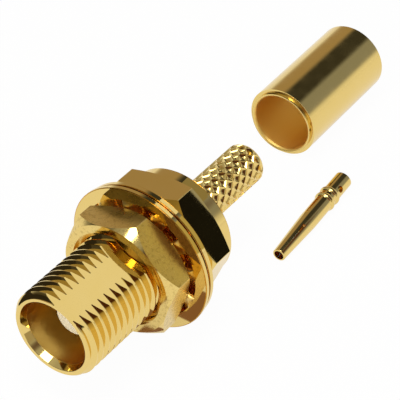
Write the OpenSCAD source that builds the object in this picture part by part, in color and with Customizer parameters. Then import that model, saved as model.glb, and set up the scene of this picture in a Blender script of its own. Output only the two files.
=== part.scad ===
// Bulkhead coaxial jack for crimp cable, with its nut, lock washer, crimp sleeve and loose socket contact.
// Millimetres. The jack lies along Y with its mating end towards -Y and +Z up. The origin is on its axis,
// at the front face of the flange, where the panel seats. The sleeve and the contact lie on the table that
// the washer's rim touches.

/* [Threaded barrel] */
// Major diameter of the barrel's thread
thread_d = 6.35; // [6:0.05:7]
// Length of the barrel, from the flange to the mating rim
barrel_len = 9.5; // [9:0.1:12]
// Distance from the axis to the flat along the barrel
flat_reach = 2.7; // [2.65:0.05:2.9]
// Roll of the jack about its axis, away from the flat facing straight up
roll_turn = 22; // [0:1:60]
// Diameter of the front rim, where the thread's lead-in ends
rim_d = 5.8; // [5.4:0.05:5.95]
// Length of the thread's lead-in
lead_len = 0.35; // [0.1:0.05:0.8]
// Distance from one ridge of the thread to the next
thread_pitch = 0.6; // [0.5:0.05:0.8]
// Depth of the thread
thread_deep = 0.37; // [0.2:0.01:0.4]
// Width of the flat crest that is left on each ridge
crest_w = 0.08; // [0.05:0.01:0.2]
// Width of the flat bottom between two ridges
root_w = 0.1; // [0.05:0.01:0.2]

/* [Bore] */
// Diameter of the bore that takes the plug
bore_d = 4.8; // [4.6:0.05:5]
// Diameter of the bore's chamfered mouth
mouth_d = 5.2; // [5.05:0.05:5.25]
// Length of the mouth's chamfer
mouth_len = 0.5; // [0.2:0.05:0.8]
// Depth of the bore's plain wall, from the rim, before it starts to taper
wall_at = 1.9; // [1.2:0.05:1.9]
// Diameter of the bore at its bottom
bottom_d = 4.3; // [3.6:0.05:4.5]
// Depth of the bore's bottom, from the rim
bottom_at = 3.6; // [3.1:0.05:4.2]
// Diameter of the seat behind the bottom, which holds the insulator
seat_d = 3.2; // [2.9:0.05:3.4]
// Diameter of the bore for the cable's core
cable_d = 2.1; // [1.6:0.05:2.3]

/* [Flange and hexagon] */
// Diameter of the flange
flange_d = 10.6; // [10:0.1:12]
// Thickness of the flange
flange_t = 0.4; // [0.3:0.05:1]
// Diameter of the round collar behind the flange, which carries the hexagon
collar_d = 8.2; // [7.4:0.05:8.25]
// Length of the collar
collar_len = 3.8; // [3.4:0.05:6]
// Bevel at the collar's back edge
collar_bevel = 0.1; // [0.05:0.05:0.3]
// Width of the body's hexagon across its flats
hex_af = 8.5; // [8.3:0.05:9]
// Length of the hexagon along the middle of a flat
hex_len = 2.3; // [1.5:0.05:2.6]
// Distance of the hexagon behind the flange
hex_at = 0.45; // [0.1:0.05:0.7]
// Length of the chamfer along a corner, at the hexagon's front
hex_chamfer = 0.5; // [0.2:0.05:0.7]
// Length of the chamfer along a corner, at the hexagon's back
hex_back_chamfer = 0.3; // [0.2:0.05:0.7]

/* [Crimp stem] */
// Diameter of the knurled stem over its points
stem_d = 3.04; // [2.9:0.02:3.3]
// Length of the stem behind the collar
stem_len = 7.75; // [6:0.05:11]
// Diameter of the plain neck between the collar and the knurl
neck_d = 2.8; // [2.7:0.02:2.88]
// Length of the plain neck
neck_len = 0.5; // [0.2:0.05:1]
// Bevel at the stem's open end
stem_bevel = 0.28; // [0.05:0.01:0.3]

/* [Insulator] */
// Diameter of the insulator's nose
nose_d = 2.4; // [2.1:0.05:2.8]
// Depth of the nose's face, from the rim
nose_at = 1.94; // [1.5:0.02:3]
// Depth of the insulator's shoulder, from the rim
shoulder_at = 4.4; // [3.6:0.05:6]
// Distance that the insulator's tail reaches behind the flange's front face
tail_at = 0.6; // [0.2:0.05:1.5]
// Diameter of the hole in the nose, for the plug's pin
pin_hole_d = 0.9; // [0.6:0.05:1.2]
// Length of the narrow hole in the nose
pin_hole_len = 0.5; // [0.3:0.05:1]
// Gap round the insulator in its seat
insulator_gap = 0.02; // [0.01:0.005:0.04]

/* [Nut] */
// Width of the nut across its flats
nut_af = 8.2; // [7.9:0.05:9.5]
// Thickness of the nut
nut_t = 2.25; // [1.6:0.05:3]
// Length of the chamfer along a corner, at the nut's front
nut_chamfer = 0.65; // [0.2:0.05:0.8]
// Length of the chamfer along a corner, at the nut's back
nut_back_chamfer = 0.5; // [0.2:0.05:0.7]
// Depth of the countersink at each end of the nut's hole
nut_sink = 0.3; // [0.1:0.02:0.45]
// Angle of the nut, turned on from the body's hexagon
nut_lead = 6.5; // [0:0.5:60]
// Gap round the thread in the nut's hole
nut_gap = 0.05; // [0.03:0.01:0.1]

/* [Lock washer] */
// Diameter of the washer's rim
washer_d = 10.8; // [10.2:0.1:12.4]
// Width of the washer's plain ring
washer_ring = 0.9; // [0.6:0.05:1.2]
// Thickness of the washer's sheet
washer_t = 0.35; // [0.25:0.01:0.5]
// Number of teeth inside the washer
tooth_n = 12; // [8:1:14]
// Width of a tooth where it leaves the ring
tooth_root_w = 1.2; // [0.8:0.05:1.3]
// Width of a tooth at its tip
tooth_tip_w = 0.9; // [0.5:0.05:1]
// Twist of each tooth about its own length
tooth_twist = 18; // [8:1:26]
// Gap between the teeth's tips and the thread
tooth_gap = 0.15; // [0.05:0.01:0.3]
// Gap between the washer's teeth and the face on either side
face_gap = 0.02; // [0.01:0.005:0.05]

/* [Crimp sleeve] */
// Outside diameter of the sleeve
sleeve_d = 5.46; // [5:0.02:6.5]
// Wall of the sleeve
sleeve_wall = 0.37; // [0.25:0.01:0.6]
// Length of the sleeve
sleeve_len = 10.35; // [8:0.05:14]
// Radius of the rounded edges at the sleeve's ends
sleeve_round = 0.07; // [0.03:0.01:0.12]
// Distance of the sleeve's near end behind the end of the stem
sleeve_behind = 7.85; // [3:0.05:20]
// Sideways distance of the sleeve's near end from the jack's axis
sleeve_aside = -2.34; // [-12:0.02:12]
// Yaw of the sleeve on the table, against the jack's axis
sleeve_yaw = 1.2; // [-20:0.1:20]

/* [Socket contact] */
// Length of the contact
contact_len = 9.2; // [9.1:0.05:12]
// Diameter of the contact's shank
shank_d = 1.32; // [1.2:0.02:1.4]
// Diameter of the tip, where the two fingers are pressed together
tip_d = 0.95; // [0.9:0.01:1.15]
// Length of the tapered fingers
taper_len = 3.9; // [3:0.05:5]
// Diameter of the hole in the tip
socket_d = 0.72; // [0.5:0.02:0.76]
// Depth of the hole in the tip
socket_len = 3.6; // [2:0.05:4.2]
// Length of the slot between the fingers
slot_len = 3.1; // [2:0.05:3.6]
// Width of the slot at its inner end
slot_root_w = 0.3; // [0.15:0.01:0.4]
// Width of the slot at the tip
slot_tip_w = 0.06; // [0.02:0.01:0.12]
// Diameter over the two retaining ridges
ridge_d = 1.56; // [1.46:0.02:1.7]
// Radius of a ridge's rounded crown
ridge_round = 0.28; // [0.2:0.01:0.32]
// Distance from the tip to the first ridge
ridge_at = 6.45; // [5.6:0.05:7]
// Distance between the two ridges
ridge_step = 0.7; // [0.6:0.01:0.8]
// Diameter of the cup for the cable's wire
cup_d = 0.84; // [0.5:0.02:0.9]
// Depth of the cup
cup_len = 1.7; // [1.3:0.05:1.8]
// Diameter of the inspection hole through the cup's wall
peep_d = 0.5; // [0.3:0.02:0.6]
// Distance from the contact's back end to the inspection hole
peep_at = 1.4; // [0.7:0.05:1.4]
// Angle of the slot about the contact's axis, up from level
slot_turn = 70; // [0:1:180]
// Angle of the inspection hole about the contact's axis, up from level
peep_turn = 34; // [0:1:180]
// Distance of the contact's tip behind the body's collar
contact_behind = 5.55; // [1:0.05:15]
// Gap between the stem's side and the middle of the contact's tip, seen from above
contact_aside = 2.73; // [1:0.01:12]
// Yaw of the contact on the table, against the jack's axis
contact_yaw = 3.2; // [-5:0.1:20]
// Gap round the shank in the insulator's hole
contact_gap = 0.02; // [0.01:0.005:0.05]

/* [Hidden] */
$fn = 96;
HEX = 6;
// Room by which a cutting solid runs past the face that it cuts
PAST = 1;
gold = "#d9b65c";
white = "#efe7d6";

thread_r = thread_d / 2;
flange_r = flange_d / 2;
washer_r = washer_d / 2;
bore_r = bore_d / 2;
seat_r = seat_d / 2;
stem_r = stem_d / 2;
collar_r = collar_d / 2;
collar_back = flange_t + collar_len;
neck_back = collar_back + neck_len;
stem_back = collar_back + stem_len;
table_z = -max(washer_r, flange_r);

// Places of the barrel's grooves, from the end of the lead-in down to the flange
valley_half = (thread_pitch - crest_w) / 2;
thread_top = barrel_len - lead_len - crest_w - valley_half;
thread_places = [for (z = thread_top; z > valley_half; z = z - thread_pitch) z];

// Axial half-height of a twisted tooth at its root, and the places of the washer and the nut that follow
tooth_half = tooth_root_w / 2 * sin(tooth_twist) + washer_t / 2 * cos(tooth_twist);
washer_mid = tooth_half + face_gap;
nut_back = washer_mid + tooth_half + face_gap;
ring_in_r = washer_r - washer_ring;
// Overlap of a tooth's root with the ring that carries it
tooth_root_lap = 0.1;

// Turns a solid that stands on its end, front upwards, on to the jack's axis
module on_axis() {
    rotate([90, 0, 0]) rotate([0, 0, -roll_turn]) children();
}

// Solid turned about Z from a half outline of [radius, height] points
module turned(points) {
    rotate_extrude() polygon(points);
}

// Hexagon standing on Z with a corner over +Y and a cone cut on its corners at each end
module chamfered_hex(af, height, low_run, high_run) {
    corner_r = af / 2 / cos(180 / HEX);
    intersection() {
        rotate([0, 0, 90]) cylinder(r = corner_r, h = height, $fn = HEX);
        turned([[0, 0], [af / 2, 0], [corner_r, low_run], [corner_r, height - high_run],
                [af / 2, height], [0, height]]);
    }
}

// Half outline of the barrel's ridges, front first. Each turn of the thread is drawn as a plain ring.
function ridges() = [for (z = thread_places, p = [
    [thread_r, z + valley_half], [thread_r - thread_deep, z + root_w / 2],
    [thread_r - thread_deep, z - root_w / 2], [thread_r, z - valley_half]]) p];

// Outside of the turned body, front upwards
module body_outline() {
    turned([[0, barrel_len], [rim_d / 2, barrel_len], [thread_r, barrel_len - lead_len], each ridges(),
            [thread_r, 0], [flange_r, 0], [flange_r, -flange_t], [collar_r, -flange_t],
            [collar_r, collar_bevel - collar_back], [collar_r - collar_bevel, -collar_back],
            [neck_d / 2, -collar_back], [neck_d / 2, -neck_back],
            [stem_r, -neck_back - (stem_r - neck_d / 2)], [stem_r, stem_bevel - stem_back],
            [stem_r - stem_bevel, -stem_back], [0, -stem_back]]);
    translate([0, 0, -flange_t - hex_at - hex_len])
        chamfered_hex(hex_af, hex_len, hex_back_chamfer, hex_chamfer);
}

// Stepped hole through the body: mouth, plug bore with its taper, insulator seat and cable bore
module body_hole() {
    mouth_r = mouth_d / 2;
    bottom_z = barrel_len - bottom_at;
    turned([[0, barrel_len + PAST], [mouth_r, barrel_len + PAST], [mouth_r, barrel_len],
            [bore_r, barrel_len - mouth_len], [bore_r, barrel_len - wall_at], [bottom_d / 2, bottom_z],
            [seat_r, bottom_z], [seat_r, -tail_at], [cable_d / 2, -tail_at],
            [cable_d / 2, -stem_back - PAST], [0, -stem_back - PAST]]);
}

module body() {
    color(gold) on_axis() difference() {
        body_outline();
        body_hole();
        translate([-thread_r, flat_reach, 0]) cube([thread_d, thread_r, barrel_len + PAST]);
    }
}

module insulator() {
    tail_r = seat_r - insulator_gap;
    hole_r = shank_d / 2 + contact_gap;
    nose_z = barrel_len - nose_at;
    shoulder_z = barrel_len - shoulder_at;
    color(white) on_axis() difference() {
        turned([[0, nose_z], [nose_d / 2, nose_z], [nose_d / 2, shoulder_z], [tail_r, shoulder_z],
                [tail_r, -tail_at], [0, -tail_at]]);
        cylinder(d = pin_hole_d, h = barrel_len);
        translate([0, 0, -tail_at - PAST]) cylinder(r = hole_r, h = tail_at + PAST + nose_z - pin_hole_len);
    }
}

module hex_nut() {
    hole_r = thread_r + nut_gap;
    color(gold) on_axis() translate([0, 0, nut_back]) difference() {
        rotate([0, 0, nut_lead]) chamfered_hex(nut_af, nut_t, nut_back_chamfer, nut_chamfer);
        turned([[0, -PAST], [hole_r + nut_sink + PAST, -PAST], [hole_r, nut_sink], [hole_r, nut_t - nut_sink],
                [hole_r + nut_sink + PAST, nut_t + PAST], [0, nut_t + PAST]]);
    }
}

// One tooth, lying along +X from the ring to its tip and twisted about X
module tooth() {
    tip_r = thread_r + tooth_gap;
    root_r = ring_in_r + tooth_root_lap;
    rotate([tooth_twist, 0, 0]) linear_extrude(washer_t, center = true)
        polygon([[tip_r, -tooth_tip_w / 2], [root_r, -tooth_root_w / 2],
                 [root_r, tooth_root_w / 2], [tip_r, tooth_tip_w / 2]]);
}

module lock_washer() {
    color(gold) on_axis() translate([0, 0, washer_mid]) {
        translate([0, 0, -washer_t / 2]) difference() {
            cylinder(r = washer_r, h = washer_t);
            translate([0, 0, -PAST]) cylinder(r = ring_in_r, h = washer_t + 2 * PAST);
        }
        for (i = [0 : tooth_n - 1]) rotate([0, 0, i * 360 / tooth_n]) tooth();
    }
}

// Lays a solid that stands on its front end down on the table, with that end at the given place
module laid(x, y, z, yaw) {
    translate([x, y, z]) rotate([0, 0, yaw]) rotate([-90, 0, 0]) children();
}

module crimp_sleeve() {
    sleeve_r = sleeve_d / 2;
    color(gold) laid(sleeve_aside, stem_back + sleeve_behind, table_z + sleeve_r, sleeve_yaw)
        rotate_extrude() translate([sleeve_r - sleeve_wall, 0]) {
            translate([sleeve_round, 0]) square([sleeve_wall - 2 * sleeve_round, sleeve_len]);
            translate([0, sleeve_round]) square([sleeve_wall, sleeve_len - 2 * sleeve_round]);
            for (x = [sleeve_round, sleeve_wall - sleeve_round], y = [sleeve_round, sleeve_len - sleeve_round])
                translate([x, y]) circle(sleeve_round);
        }
}

// Outside of the contact, tip downwards
module contact_outline() {
    shank_r = shank_d / 2;
    end_bevel = (shank_d - cup_d) / 6;
    turned([[0, 0], [tip_d / 2, 0], [shank_r, taper_len], [shank_r, contact_len - end_bevel],
            [shank_r - end_bevel, contact_len], [0, contact_len]]);
    for (at = [ridge_at, ridge_at + ridge_step]) translate([0, 0, at])
        rotate_extrude() translate([ridge_d / 2 - ridge_round, 0]) circle(ridge_round);
}

module centre_contact() {
    ridge_r = ridge_d / 2;
    // The contact tips forward until its tip and its first ridge are both on the table
    lean = atan((ridge_r - tip_d / 2) / ridge_at);
    tip_z = table_z + tip_d / 2 / cos(lean);
    color(gold) laid(stem_r + contact_aside, collar_back + contact_behind, tip_z, contact_yaw)
        rotate([lean, 0, 0]) difference() {
            contact_outline();
            translate([0, 0, -PAST]) cylinder(d = socket_d, h = socket_len + PAST);
            translate([0, 0, contact_len - cup_len]) cylinder(d = cup_d, h = cup_len + PAST);
            rotate([0, 0, -slot_turn]) rotate([90, 0, 90]) linear_extrude(ridge_d * 2, center = true)
                polygon([[-slot_tip_w / 2, -PAST], [slot_tip_w / 2, -PAST], [slot_tip_w / 2, 0],
                         [slot_root_w / 2, slot_len], [-slot_root_w / 2, slot_len], [-slot_tip_w / 2, 0]]);
            translate([0, 0, contact_len - peep_at]) rotate([0, 0, -peep_turn]) rotate([0, 90, 0])
                cylinder(d = peep_d, h = ridge_d);
        }
}

body();
insulator();
hex_nut();
lock_washer();
crimp_sleeve();
centre_contact();
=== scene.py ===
# %% [markdown]
# # A gold-plated coaxial panel jack
# The object is a small turned connector: a threaded barrel with a flat, a nut and a toothed washer on it, a
# hexagon, a knurled crimp stem, and beside it a loose crimp sleeve and a loose socket contact.
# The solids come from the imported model. This script makes the thread, the knurl and the finishes around them.

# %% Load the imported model
import math

import bmesh
import bpy
from mathutils import Matrix, Vector


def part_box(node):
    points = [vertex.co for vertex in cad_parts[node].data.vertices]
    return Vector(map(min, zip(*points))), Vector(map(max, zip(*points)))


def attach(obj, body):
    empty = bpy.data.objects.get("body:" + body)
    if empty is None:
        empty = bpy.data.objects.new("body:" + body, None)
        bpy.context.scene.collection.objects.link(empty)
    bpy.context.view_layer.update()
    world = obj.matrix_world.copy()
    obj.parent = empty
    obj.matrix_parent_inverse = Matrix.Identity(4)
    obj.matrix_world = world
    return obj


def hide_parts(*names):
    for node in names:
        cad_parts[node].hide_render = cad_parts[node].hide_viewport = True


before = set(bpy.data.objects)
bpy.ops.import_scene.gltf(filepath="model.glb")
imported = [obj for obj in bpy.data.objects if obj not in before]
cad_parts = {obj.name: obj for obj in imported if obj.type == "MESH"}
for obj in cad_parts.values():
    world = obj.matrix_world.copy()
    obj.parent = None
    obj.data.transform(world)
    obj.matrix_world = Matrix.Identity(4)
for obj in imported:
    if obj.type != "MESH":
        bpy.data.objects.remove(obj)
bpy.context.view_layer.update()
scene = bpy.context.scene
MM = 0.001

# %% [markdown]
# ## The camera
# The photograph was taken with a long lens from above and from the right of the jack's front. The angles were
# fitted to the ellipses of the rim, the washer and the sleeve. A camera is placed from an aim point, a direction
# and a distance, so that each of these can be changed by itself.

# %% Place the camera
VIEW_AZIMUTH = math.radians(35.44)
VIEW_ELEVATION = math.radians(39.76)
VIEW_DISTANCE = 120.0
AIM_RIGHT = 3.662
AIM_UP = 3.538
SENSOR = 36.0
FOCAL_SHARE = 4.604
NEAR_CLIP = 0.001


def view_axes(azimuth, elevation):
    """Right, up and back directions of a camera that looks at the jack."""
    back = Vector((math.sin(azimuth) * math.cos(elevation), -math.cos(azimuth) * math.cos(elevation),
                   math.sin(elevation)))
    right = Vector((math.cos(azimuth), math.sin(azimuth), 0))
    return right, back.cross(right), back


right, up, back = view_axes(VIEW_AZIMUTH, VIEW_ELEVATION)
camera_data = bpy.data.cameras.new("camera")
camera_data.sensor_width = SENSOR
camera_data.lens = SENSOR * FOCAL_SHARE
camera_data.clip_start = NEAR_CLIP
camera = bpy.data.objects.new("camera", camera_data)
turn = Matrix((right, up, back)).transposed().to_4x4()
spot = (AIM_RIGHT * right + AIM_UP * up + VIEW_DISTANCE * back) * MM
camera.matrix_world = Matrix.Translation(spot) @ turn
scene.collection.objects.link(camera)
scene.camera = camera
print("camera at", [round(x, 4) for x in camera.location])

# %% [markdown]
# ## Node trees in short calls
# Shapes that follow a rule and finishes that vary over a surface are both node trees. Writing a tree in Python is
# wordy, so one helper adds a node together with its inputs, and another one does the same for a sum.

# %% Node helpers
SOCKETS = {float: "NodeSocketFloat", int: "NodeSocketInt", tuple: "NodeSocketVector"}


def add(tree, kind, *values, **settings):
    """Adds a node. Each value is a number or another node's output, in the order of the node's inputs."""
    node = tree.nodes.new(kind)
    for name, value in settings.items():
        setattr(node, name, value)
    for socket, value in zip([s for s in node.inputs if s.enabled], values):
        if isinstance(value, bpy.types.NodeSocket):
            tree.links.new(value, socket)
        elif value is not None:
            socket.default_value = value
    return node


def maths(tree, operation, *values):
    """Output of one Math node."""
    return add(tree, "ShaderNodeMath", *values, operation=operation).outputs[0]


def dot(tree, vector, direction):
    """Length of a vector along a direction."""
    return add(tree, "ShaderNodeVectorMath", vector, direction, operation="DOT_PRODUCT").outputs["Value"]


def blend(tree, share, first, second):
    """Colour that goes from the first to the second."""
    return add(tree, "ShaderNodeMix", share, first, second, data_type="RGBA").outputs["Result"]


def eased_step(tree, value, low, high, at_low, at_high):
    """Number that goes smoothly from one level to another while a value goes from low to high."""
    return add(tree, "ShaderNodeMapRange", value, low, high, at_low, at_high,
               interpolation_type="SMOOTHSTEP").outputs[0]


# %% [markdown]
# ## Surface effects
# Gold plate is thin, so it keeps the marks of whatever was done to the brass under it: rings from the lathe tool,
# lines from the drawing die, and everywhere a faint orange-peel grain. Each effect is a node group with its own
# scales, so that every finish can have as much of it as its piece shows.

# %% Grain of the plate
PLACED = {"Place": (0.0, 0.0, 0.0), "Fineness": 1000.0}
TONE_SCALE = 0.16
GRAIN_ROUGHNESS = 0.6


def effect(name, inputs, outputs):
    """New shader group with named inputs and outputs."""
    tree = bpy.data.node_groups.new(name, "ShaderNodeTree")
    for socket, value in inputs.items():
        made = tree.interface.new_socket(socket, in_out="INPUT", socket_type=SOCKETS[type(value)])
        made.default_value = value
    for socket in outputs:
        tree.interface.new_socket(socket, in_out="OUTPUT", socket_type="NodeSocketFloat")
    return tree, tree.nodes.new("NodeGroupInput").outputs


def grain_effect():
    """Orange-peel grain of the plate: a fine height, and a slow tone that makes one patch duller than the next."""
    tree, size = effect("plate_grain", PLACED, ("Height", "Tone"))
    fine = add(tree, "ShaderNodeTexNoise", size["Place"], size["Fineness"], 3.0, GRAIN_ROUGHNESS).outputs[0]
    slow = maths(tree, "MULTIPLY", size["Fineness"], TONE_SCALE)
    tone = add(tree, "ShaderNodeTexNoise", size["Place"], slow, 2.0, 0.5).outputs[0]
    add(tree, "NodeGroupOutput", fine, tone)
    return tree


GRAIN = grain_effect()
print("effect:", GRAIN.name)

# %% Tool marks
STRETCH = 0.02
LINE_ROUGHNESS = 0.55


def lathe_effect():
    """Rings left by a tool that moves along the axis and across the end faces."""
    tree, size = effect("lathe_rings", PLACED, ("Height",))
    part = add(tree, "ShaderNodeSeparateXYZ", size["Place"])
    radius = maths(tree, "SQRT", maths(tree, "ADD", maths(tree, "POWER", part.outputs[0], 2.0),
                                       maths(tree, "POWER", part.outputs[2], 2.0)))
    travel = maths(tree, "MULTIPLY", maths(tree, "ADD", part.outputs[1], radius), size["Fineness"])
    rings = add(tree, "ShaderNodeTexNoise", travel, 1.0, 2.0, 0.5, noise_dimensions="1D").outputs[0]
    add(tree, "NodeGroupOutput", rings)
    return tree


def drawn_effect():
    """Lines that a drawing die leaves along a tube."""
    tree, size = effect("drawn_lines", {**PLACED, "Stretch": STRETCH}, ("Height",))
    lengthways = maths(tree, "MULTIPLY", size["Fineness"], size["Stretch"])
    scale = add(tree, "ShaderNodeCombineXYZ", size["Fineness"], lengthways, size["Fineness"]).outputs[0]
    place = add(tree, "ShaderNodeVectorMath", size["Place"], scale, operation="MULTIPLY").outputs[0]
    lines = add(tree, "ShaderNodeTexNoise", place, 1.0, 2.0, LINE_ROUGHNESS).outputs[0]
    add(tree, "NodeGroupOutput", lines)
    return tree


LATHE = lathe_effect()
DRAWN = drawn_effect()
print("effects:", LATHE.name, DRAWN.name)

# %% [markdown]
# In the photograph the bores look satin, and the outside looks like a mirror. A mask that finds the inside by its
# distance from the bore's axis lets one material do both, without a second slot on the piece.

# %% Mask of a bore
# The mask also lays a painted bounce orange inside the sleeve and among the washer's teeth.
def bored_effect():
    """One inside a bore, which has a foot, a direction, a radius and a length, and nought elsewhere."""
    tree, size = effect("bored", {"Place": (0.0, 0.0, 0.0), "Foot": (0.0, 0.0, 0.0), "Along": (0.0, 1.0, 0.0),
                                  "Radius": MM, "Length": MM}, ("Mask",))
    from_foot = add(tree, "ShaderNodeVectorMath", size["Place"], size["Foot"], operation="SUBTRACT").outputs[0]
    aside = add(tree, "ShaderNodeVectorMath", from_foot, size["Along"], operation="CROSS_PRODUCT").outputs[0]
    radius = add(tree, "ShaderNodeVectorMath", aside, operation="LENGTH").outputs["Value"]
    narrow = maths(tree, "LESS_THAN", radius, size["Radius"])
    short = maths(tree, "LESS_THAN", dot(tree, from_foot, size["Along"]), size["Length"])
    add(tree, "NodeGroupOutput", maths(tree, "MULTIPLY", narrow, short))
    return tree


BORED = bored_effect()
print("effect:", BORED.name)

# %% [markdown]
# ## Finishes
# Every gold piece has the same plate, but not the same surface: the body was turned bright, the nut's sides were
# milled and are satin and a little stained, the washer was stamped from polished strip, and the sleeve is drawn
# tube. So one function makes the gold, and each piece gives it its own roughness and its own mix of marks.

# %% Colours and bores
GOLD = (0.80, 0.585, 0.185, 1)
PALE_GOLD = (0.82, 0.615, 0.22, 1)
BARREL_LEN = -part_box("body")[0].y / MM
TABLE_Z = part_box("lock_washer")[0].z / MM
WASHER_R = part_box("lock_washer")[1].z / MM
RING_W = 0.9
SLEEVE_R = 2.73
SLEEVE_WALL = 0.37
SLEEVE_SPOT = (-2.34, 19.8)
SLEEVE_YAW = math.radians(1.2)
SLEEVE_ALONG = Vector((-math.sin(SLEEVE_YAW), math.cos(SLEEVE_YAW), 0))
JACK_ALONG = Vector((0, 1, 0))
JACK_BORE_R = 2.41
JACK_BORE_LEN = 4.5
SLEEVE_MARGIN = 0.02
ENDLESS = 1.0
MILLED = "milled"
# Painted bounce light: the orange that light takes after many bounces between gold faces, given as a colour
BOUNCE_ORANGE = (0.92, 0.66, 0.20, 1)
STAINED_GOLD = (0.52, 0.37, 0.11, 1)
TONES = (0.35, 0.65)
STAINS = (0.5, 0.66)
# Each bore: roughness, colour (among the washer's teeth and in the sleeve a painted bounce orange), foot, direction,
# radius, length
TEETH_ZONE = (0.32, BOUNCE_ORANGE, Vector((0, 0, 0)), JACK_ALONG, (WASHER_R - RING_W) * MM, ENDLESS)
JACK_BORE = (0.3, GOLD, Vector((0, -BARREL_LEN, 0)) * MM, JACK_ALONG, JACK_BORE_R * MM, JACK_BORE_LEN * MM)
SLEEVE_BORE = (0.5, BOUNCE_ORANGE, Vector((*SLEEVE_SPOT, TABLE_Z + SLEEVE_R)) * MM, SLEEVE_ALONG,
               (SLEEVE_R - SLEEVE_WALL + SLEEVE_MARGIN) * MM, ENDLESS)
print("washer's ring", RING_W, "mm wide, sleeve", SLEEVE_R, "mm in radius")

# %% Gold
def new_material(name):
    """Material with nodes, its tree and the shader in it."""
    material = bpy.data.materials.new(name)
    material.use_nodes = True
    tree = material.node_tree
    return material, tree, tree.nodes["Principled BSDF"]


def bumped(tree, shader, height, depth):
    """Gives a shader a relief of some depth in millimetres."""
    bump = add(tree, "ShaderNodeBump")
    bump.inputs["Strength"].default_value = 1.0
    bump.inputs["Distance"].default_value = depth * MM
    tree.links.new(height, bump.inputs["Height"])
    tree.links.new(bump.outputs[0], shader.inputs["Normal"])


def gold(name, smooth, dull, grain, fineness, marks=None, mark_scale=0.0, mark_share=0.5, bore=None,
         stain=0.0, milled=0.0):
    """Gold plate whose roughness lies between two values, with grain of some depth in millimetres, and tool marks.
    A bore has a roughness of its own and a colour, which in some bores is a painted orange of light bounced between
    gold faces. Stains lie where the grain is high. Milled faces, which the mesh marks, are duller by a given
    roughness."""
    material, tree, shader = new_material(name)
    shader.inputs["Metallic"].default_value = 1.0
    place = add(tree, "ShaderNodeTexCoord").outputs["Object"]
    peel = add(tree, "ShaderNodeGroup", place, fineness, node_tree=GRAIN)
    height = peel.outputs["Height"]
    if marks:
        lines = add(tree, "ShaderNodeGroup", place, mark_scale, node_tree=marks).outputs["Height"]
        height = add(tree, "ShaderNodeMix", mark_share, height, lines).outputs[0]
    rough = eased_step(tree, peel.outputs["Tone"], *TONES, smooth, dull)
    colour = blend(tree, peel.outputs["Tone"], GOLD, PALE_GOLD)
    if milled:
        mask = add(tree, "ShaderNodeAttribute", attribute_name=MILLED).outputs["Fac"]
        rough = maths(tree, "MULTIPLY_ADD", mask, milled, rough)
    if stain:
        share = eased_step(tree, peel.outputs["Height"], *STAINS, 0, stain)
        colour = blend(tree, share, colour, STAINED_GOLD)
    if bore:
        bore_rough, bore_colour, *where = bore
        mask = add(tree, "ShaderNodeGroup", place, *where, node_tree=BORED).outputs["Mask"]
        rough = add(tree, "ShaderNodeMix", mask, rough, bore_rough).outputs[0]
        # Painted bounce light: inside the sleeve and among the washer's teeth this blends in an orange for light
        # bounced between gold faces
        colour = blend(tree, mask, colour, bore_colour)
    tree.links.new(rough, shader.inputs["Roughness"])
    tree.links.new(colour, shader.inputs["Base Color"])
    bumped(tree, shader, height, grain)
    return material

# %% Gold finishes
FINISHES = {
    # name, smoothest and dullest roughness, depth of the grain in millimetres, fineness
    "gold_body": gold("bright_body", 0.04, 0.07, 0.0004, 6000.0, marks=LATHE, mark_scale=30000.0, mark_share=0.3,
                      bore=JACK_BORE),
    "gold_nut": gold("bright_nut", 0.09, 0.15, 0.0015, 4500.0, stain=0.6, milled=0.15),
    # The washer's teeth and the sleeve's bore get a painted bounce orange through their bore entries.
    "gold_washer": gold("bright_washer", 0.05, 0.08, 0.0002, 3000.0, bore=TEETH_ZONE),
    "gold_sleeve": gold("bright_sleeve", 0.11, 0.17, 0.0008, 6000.0, marks=DRAWN, mark_scale=9000.0, mark_share=0.5,
                        bore=SLEEVE_BORE),
    "gold_contact": gold("bright_contact", 0.08, 0.14, 0.0006, 9000.0, marks=LATHE, mark_scale=40000.0,
                         mark_share=0.3),
}
print("gold finishes:", list(FINISHES))

# %% [markdown]
# The insulator is a white fluoropolymer, which looks like wax: soft, a little cloudy and never quite even. The same
# grain as on the gold, but larger and on a plain shader, gives it that.

# %% White insulator
CREAM = (0.86, 0.76, 0.52, 1)
CHALK = (0.90, 0.83, 0.65, 1)
CLOUD_FINENESS = 4000.0
CLOUDS = (0.3, 0.7)
WAX_ROUGHNESS = (0.35, 0.5)
WAX_RELIEF = 0.001


def waxy_white(name):
    """White fluoropolymer, waxy and a little cloudy."""
    material, tree, shader = new_material(name)
    place = add(tree, "ShaderNodeTexCoord").outputs["Object"]
    cloud = add(tree, "ShaderNodeGroup", place, CLOUD_FINENESS, node_tree=GRAIN)
    rough = eased_step(tree, cloud.outputs["Tone"], *CLOUDS, *WAX_ROUGHNESS)
    tree.links.new(blend(tree, cloud.outputs["Tone"], CREAM, CHALK), shader.inputs["Base Color"])
    tree.links.new(rough, shader.inputs["Roughness"])
    bumped(tree, shader, cloud.outputs["Height"], WAX_RELIEF)
    return material


FINISHES["white_insulator"] = waxy_white("waxy_white")
print("all finishes:", list(FINISHES))

# %% [markdown]
# ## Turned solids
# Almost every piece here comes from a lathe. A lathe in code takes half an outline, a list of radius and height
# pairs, and turns it about an axis. Corners get a small arc, because a real edge is never quite sharp and the
# arc is what catches the light. All pieces are drawn in millimetres with the mating end upwards, then laid down.

# %% Outlines with rounded corners
ARC_STEPS = 4
HOLD = 0.15


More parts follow.
